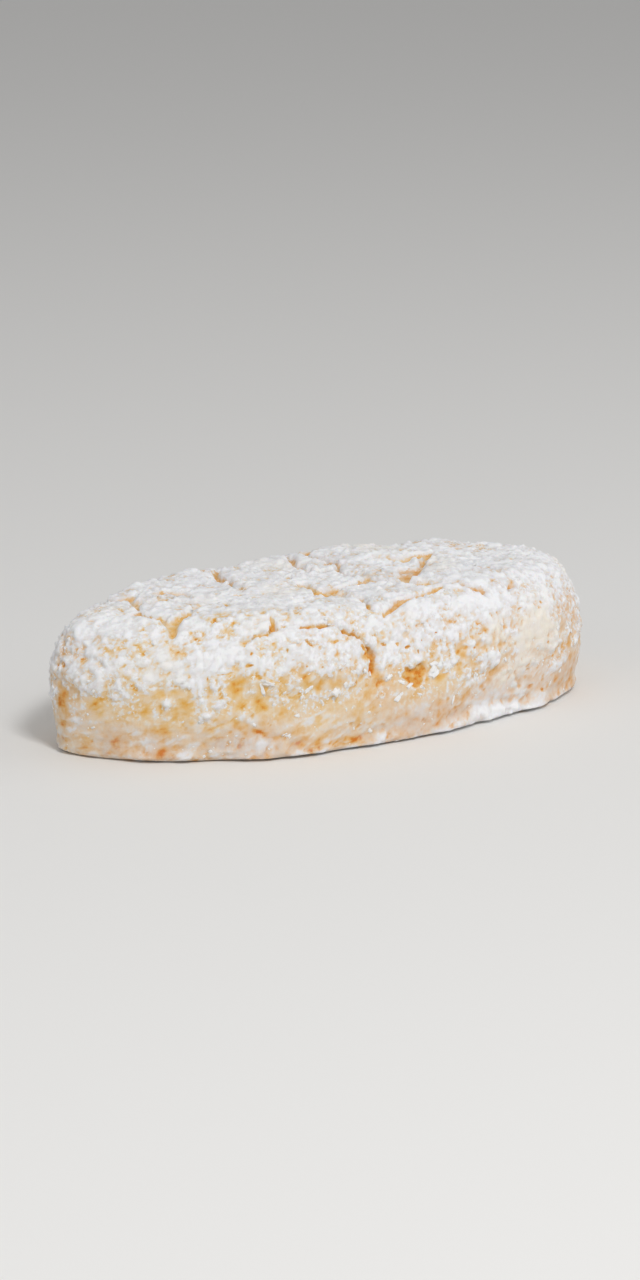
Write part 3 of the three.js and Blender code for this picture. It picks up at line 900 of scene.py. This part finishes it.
def sugar_pieces(name, places, normals, spins, halves, form):
    """One mesh of uneven bits of sugar sunk in the skin. halves are half length and half width of each."""
    rng = np.random.default_rng(form.seed)
    points, triangles = ball(form.turns)
    count = len(places)
    level = unit(np.stack([-normals[:, 1], normals[:, 0], np.full(count, LEAST_LEVEL)], axis=1))
    steep = np.cross(normals, level)
    along = level * np.cos(spins)[:, None] + steep * np.sin(spins)[:, None]
    across = np.cross(normals, along)
    thick = halves.min(axis=1) * form.flat
    strewn = points + BIT_NOISE.apart * rng.random((count, 1, 3)) * np.arange(1, count + 1)[:, None, None]
    uneven = layered(strewn.reshape(-1, 3), BIT_NOISE.size, form.seed, 2).reshape(count, -1, 1)
    shapes = to_power(points, form.blocky) * (1 + form.uneven * uneven)
    shapes *= np.column_stack([halves, thick])[:, None]
    middles = places + normals * (thick * (1 - 2 * form.sink))[:, None]
    ways = enumerate((along, across, normals))
    bits = middles[:, None] + sum(shapes[:, :, axis, None] * way[:, None] for axis, way in ways)
    bits = np.clip(bits.reshape(-1, 3), LOW, HIGH)
    faces = (triangles + np.arange(count)[:, None, None] * len(points)).reshape(-1, 3)
    return new_mesh(name, bits, [faces])


def flecks(skin):
    """Small flakes of sugar spread at random over the skin, most of them where thick sugar thins out."""
    rng = np.random.default_rng(FLECK.seed)
    quads = skin["quads"]
    corners = skin["points"][quads]
    area = np.linalg.norm(np.cross(corners[:, 2] - corners[:, 0], corners[:, 3] - corners[:, 1]), axis=1)
    thin = 1 - FLECKS_LIE.fewer * rise(skin["sugar"], *FLECKS_LIE.thick)
    weight = area * (FLECKS_LIE.everywhere + (thin * skin["edge"])[quads].mean(axis=1))
    count = FLECKS.count
    chosen = rng.choice(len(quads), count, p=weight / weight.sum())
    a, b = rng.random((2, count, 1))
    shares = np.stack([(1 - a) * (1 - b), a * (1 - b), a * b, (1 - a) * b], axis=1)
    places = (corners[chosen] * shares).sum(axis=1)
    normals = unit((skin["normals"][quads[chosen]] * shares).sum(axis=1))
    half = FLECKS.least + (FLECKS.most - FLECKS.least) * rng.random(count) ** FLECKS.small
    long = half * (1 + (FLECKS.long - 1) * rng.random(count) ** FLECKS.round)
    spins = rng.random(count) * math.pi
    return sugar_pieces("sugar_flecks", places, normals, spins, np.column_stack([long, half]), FLECK)


def front_chips(skin):
    """The chips of caked sugar on the front, each at its place."""
    points = skin["points"]
    front = np.flatnonzero(points[:, 1] < -FRONT_DEPTH[0])
    x, z, long, wide, spins = np.array(FRONT_CHIPS).T
    nearest = front[np.hypot(points[front, :1] - x, points[front, 2:] - z).argmin(axis=0)]
    halves = np.column_stack([long, wide])
    return sugar_pieces("sugar_chips", points[nearest], skin["normals"][nearest], spins, halves, CHIP)


def linear(red, green, blue):
    """A colour given as it looks on a screen, from 0 to 255, as the numbers that a shader takes."""
    shares = [c / 255 for c in (red, green, blue)]
    return [c / 12.92 if c <= 0.04045 else ((c + 0.055) / 1.055) ** 2.4 for c in shares] + [1]


class Nodes:
    """A short way to build a material's nodes."""

    def __init__(self, name):
        self.material = bpy.data.materials.new(name)
        self.material.use_nodes = True
        self.tree = self.material.node_tree
        self.shader = self.tree.nodes["Principled BSDF"]

    def link(self, value, socket):
        if isinstance(value, bpy.types.NodeSocket):
            self.tree.links.new(value, socket)
        else:
            socket.default_value = value

    def math(self, operation, first, second, clamp=False):
        node = self.tree.nodes.new("ShaderNodeMath")
        node.operation = operation
        node.use_clamp = clamp
        self.link(first, node.inputs[0])
        self.link(second, node.inputs[1])
        return node.outputs[0]

    def plus(self, first, second):
        return self.math("ADD", first, second)

    def times(self, first, second, clamp=False):
        return self.math("MULTIPLY", first, second, clamp)

    def value(self, name):
        node = self.tree.nodes.new("ShaderNodeAttribute")
        node.attribute_name = name
        return node.outputs["Fac"]

    def noise(self, size_mm, detail, rough):
        node = self.tree.nodes.new("ShaderNodeTexNoise")
        place = self.tree.nodes.new("ShaderNodeTexCoord")
        self.link(place.outputs["Object"], node.inputs["Vector"])
        node.inputs["Scale"].default_value = 1 / (size_mm * MM)
        node.inputs["Detail"].default_value = detail
        node.inputs["Roughness"].default_value = rough
        return node.outputs["Fac"]

    def ramp(self, value, stops):
        node = self.tree.nodes.new("ShaderNodeValToRGB")
        self.link(value, node.inputs["Fac"])
        elements = node.color_ramp.elements
        while len(elements) < len(stops):
            elements.new(0.5)
        for element, (at, colour) in zip(elements, stops):
            element.position = at
            element.color = linear(*colour)
        return node.outputs["Color"]

    def swing(self, noise):
        """Noise that swings round 0."""
        return self.math("SUBTRACT", self.noise(*noise), 0.5)

    def share(self, value, low, high):
        """0 below low, 1 above high."""
        return self.ramp(value, ((low, BLACK), (high, WHITE)))

    def mix(self, share, first, second):
        node = self.tree.nodes.new("ShaderNodeMix")
        node.data_type = "RGBA"
        self.link(share, node.inputs["Factor"])
        self.link(first, node.inputs["A"])
        self.link(second, node.inputs["B"])
        return node.outputs["Result"]

    def bump(self, height, strength, reach_mm):
        node = self.tree.nodes.new("ShaderNodeBump")
        self.link(height, node.inputs["Height"])
        node.inputs["Strength"].default_value = strength
        node.inputs["Distance"].default_value = reach_mm * MM
        self.link(node.outputs["Normal"], self.shader.inputs["Normal"])

    def lit(self, specular, subsurface, depths):
        """How light enters the material."""
        inputs = self.shader.inputs
        inputs["Specular IOR Level"].default_value = specular
        inputs["Subsurface Weight"].default_value = subsurface
        inputs["Subsurface Radius"].default_value = depths
        inputs["Subsurface Scale"].default_value = 1


def sugar_cover(n, fine, coarse):
    """How thick the sugar is, with its finest grain."""
    strength = n.plus(n.times(n.value("powdery"), COVER.fine_powdery), COVER.fine)
    cover = n.plus(n.value("sugar"), n.times(fine, strength))
    cover = n.plus(cover, n.times(coarse, COVER.coarse))
    specks = n.math("SUBTRACT", n.share(n.noise(*SPECKS.noise), *SPECKS.range), SPECKS.middle)
    cover = n.plus(cover, n.times(n.times(specks, n.value("edge")), COVER.specks))
    patchy = n.times(n.swing(BASE_NOISE), COVER.base)
    return n.plus(cover, n.times(patchy, n.value("base")))


def cookie_material():
    """Golden paste under sugar, from bare crumb to thick white, with the finest grain."""
    n = Nodes("sugared_paste")
    fine = n.swing(FINE_NOISE)
    coarse = n.swing(COARSE_NOISE)
    cover = sugar_cover(n, fine, coarse)
    crumb = n.plus(n.value("crumb"), n.times(fine, OPEN_CRUMB.fine))
    edge = n.plus(n.value("bare"), n.times(n.plus(fine, coarse), OPEN_CRUMB.ragged))
    lower = n.math("MINIMUM", cover, crumb)
    change = n.times(n.math("SUBTRACT", lower, cover), n.share(edge, *OPEN_CRUMB.range))
    cover = n.plus(cover, change)
    tint = n.mix(n.value("golden"), n.ramp(cover, ROSY), n.ramp(cover, GOLDEN))
    # The dull grey veil low on the sides, partly painted shade
    shade_veil = n.times(n.value("dull_and_shade"), n.plus(n.times(coarse, SHADE_VEIL.coarse), SHADE_VEIL.middle), clamp=True)
    tint = n.mix(shade_veil, tint, linear(*DULL_AND_SHADE))
    rich = n.times(n.value("cream"), n.share(cover, *RICH.cover))
    rich = n.times(rich, n.plus(coarse, RICH.middle), clamp=True)
    n.link(n.mix(rich, tint, linear(*CREAM)), n.shader.inputs["Base Color"])
    rough = n.plus(n.times(cover, ROUGHNESS.cover, clamp=True), ROUGHNESS.least)
    n.link(rough, n.shader.inputs["Roughness"])
    n.lit(*COOKIE_LIGHT)
    grain = n.times(n.noise(*COOKIE_BUMP.coarse), COOKIE_BUMP.coarse_share)
    n.bump(n.plus(n.noise(*COOKIE_BUMP.fine), grain), COOKIE_BUMP.strength, COOKIE_BUMP.reach)
    return n.material


def sugar_material():
    """Caked icing sugar, white with a little cream."""
    n = Nodes("caked_sugar")
    n.link(n.ramp(n.noise(*SUGAR_NOISE), SUGAR_SHADES), n.shader.inputs["Base Color"])
    n.shader.inputs["Roughness"].default_value = CHALKY
    n.lit(*SUGAR_LIGHT)
    n.bump(n.noise(*SUGAR_BUMP.noise), SUGAR_BUMP.strength, SUGAR_BUMP.reach)
    return n.material


def add_area(name, place, size, power):
    """A soft square lamp that faces the cookie's middle."""
    light = bpy.data.lights.new(name, "AREA")
    light.size = size
    light.energy = power
    lamp = bpy.data.objects.new(name, light)
    lamp.location = place
    lamp.rotation_euler = (MIDDLE - Vector(place)).to_track_quat("-Z", "Y").to_euler()
    bpy.context.scene.collection.objects.link(lamp)


def light_scene():
    """Soft studio light from above and in front, with a pale surround."""
    for name, (place, size, power) in LAMPS.items():
        add_area(name, place, size, power)
    world = bpy.data.worlds.new("studio")
    world.use_nodes = True
    surround = world.node_tree.nodes["Background"].inputs
    surround["Color"].default_value = (1, 1, 1, 1)
    surround["Strength"].default_value = SURROUND
    bpy.context.scene.world = world
    bpy.context.scene.view_settings.view_transform = "Standard"


def add_camera():
    """The camera looks at the cookie's middle from the photograph's angle."""
    turn, tip = math.radians(CAMERA.azimuth), math.radians(CAMERA.elevation)
    back = Vector((math.sin(turn) * math.cos(tip), -math.cos(turn) * math.cos(tip), math.sin(tip)))
    data = bpy.data.cameras.new("camera")
    data.lens = CAMERA.lens
    data.clip_start = CAMERA.near
    camera = bpy.data.objects.new("camera", data)
    camera.location = MIDDLE + back * CAMERA.away
    camera.rotation_euler = (-back).to_track_quat("-Z", "Y").to_euler()
    bpy.context.scene.collection.objects.link(camera)
    bpy.context.scene.camera = camera


def add_floor():
    """A wide, plain, pale floor just under the cookie."""
    n = Nodes("pale_floor")
    n.shader.inputs["Base Color"].default_value = linear(*FLOOR.colour)
    n.shader.inputs["Roughness"].default_value = CHALKY
    corners = FLOOR.half * np.array([(-1, -1, 0), (1, -1, 0), (1, 1, 0), (-1, 1, 0)])
    floor = new_mesh("floor", corners, [np.array([[0, 1, 2, 3]])])
    floor.data.materials.append(n.material)


add_camera()
light_scene()
add_floor()
cookie, skin = dress()
cookie.data.materials.append(cookie_material())
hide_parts(NODE)
loose = [front_chips(skin), flecks(skin)]
sugar = sugar_material()
for piece in loose:
    piece.data.materials.append(sugar)
for piece in [cookie] + loose:
    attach(piece, "root")
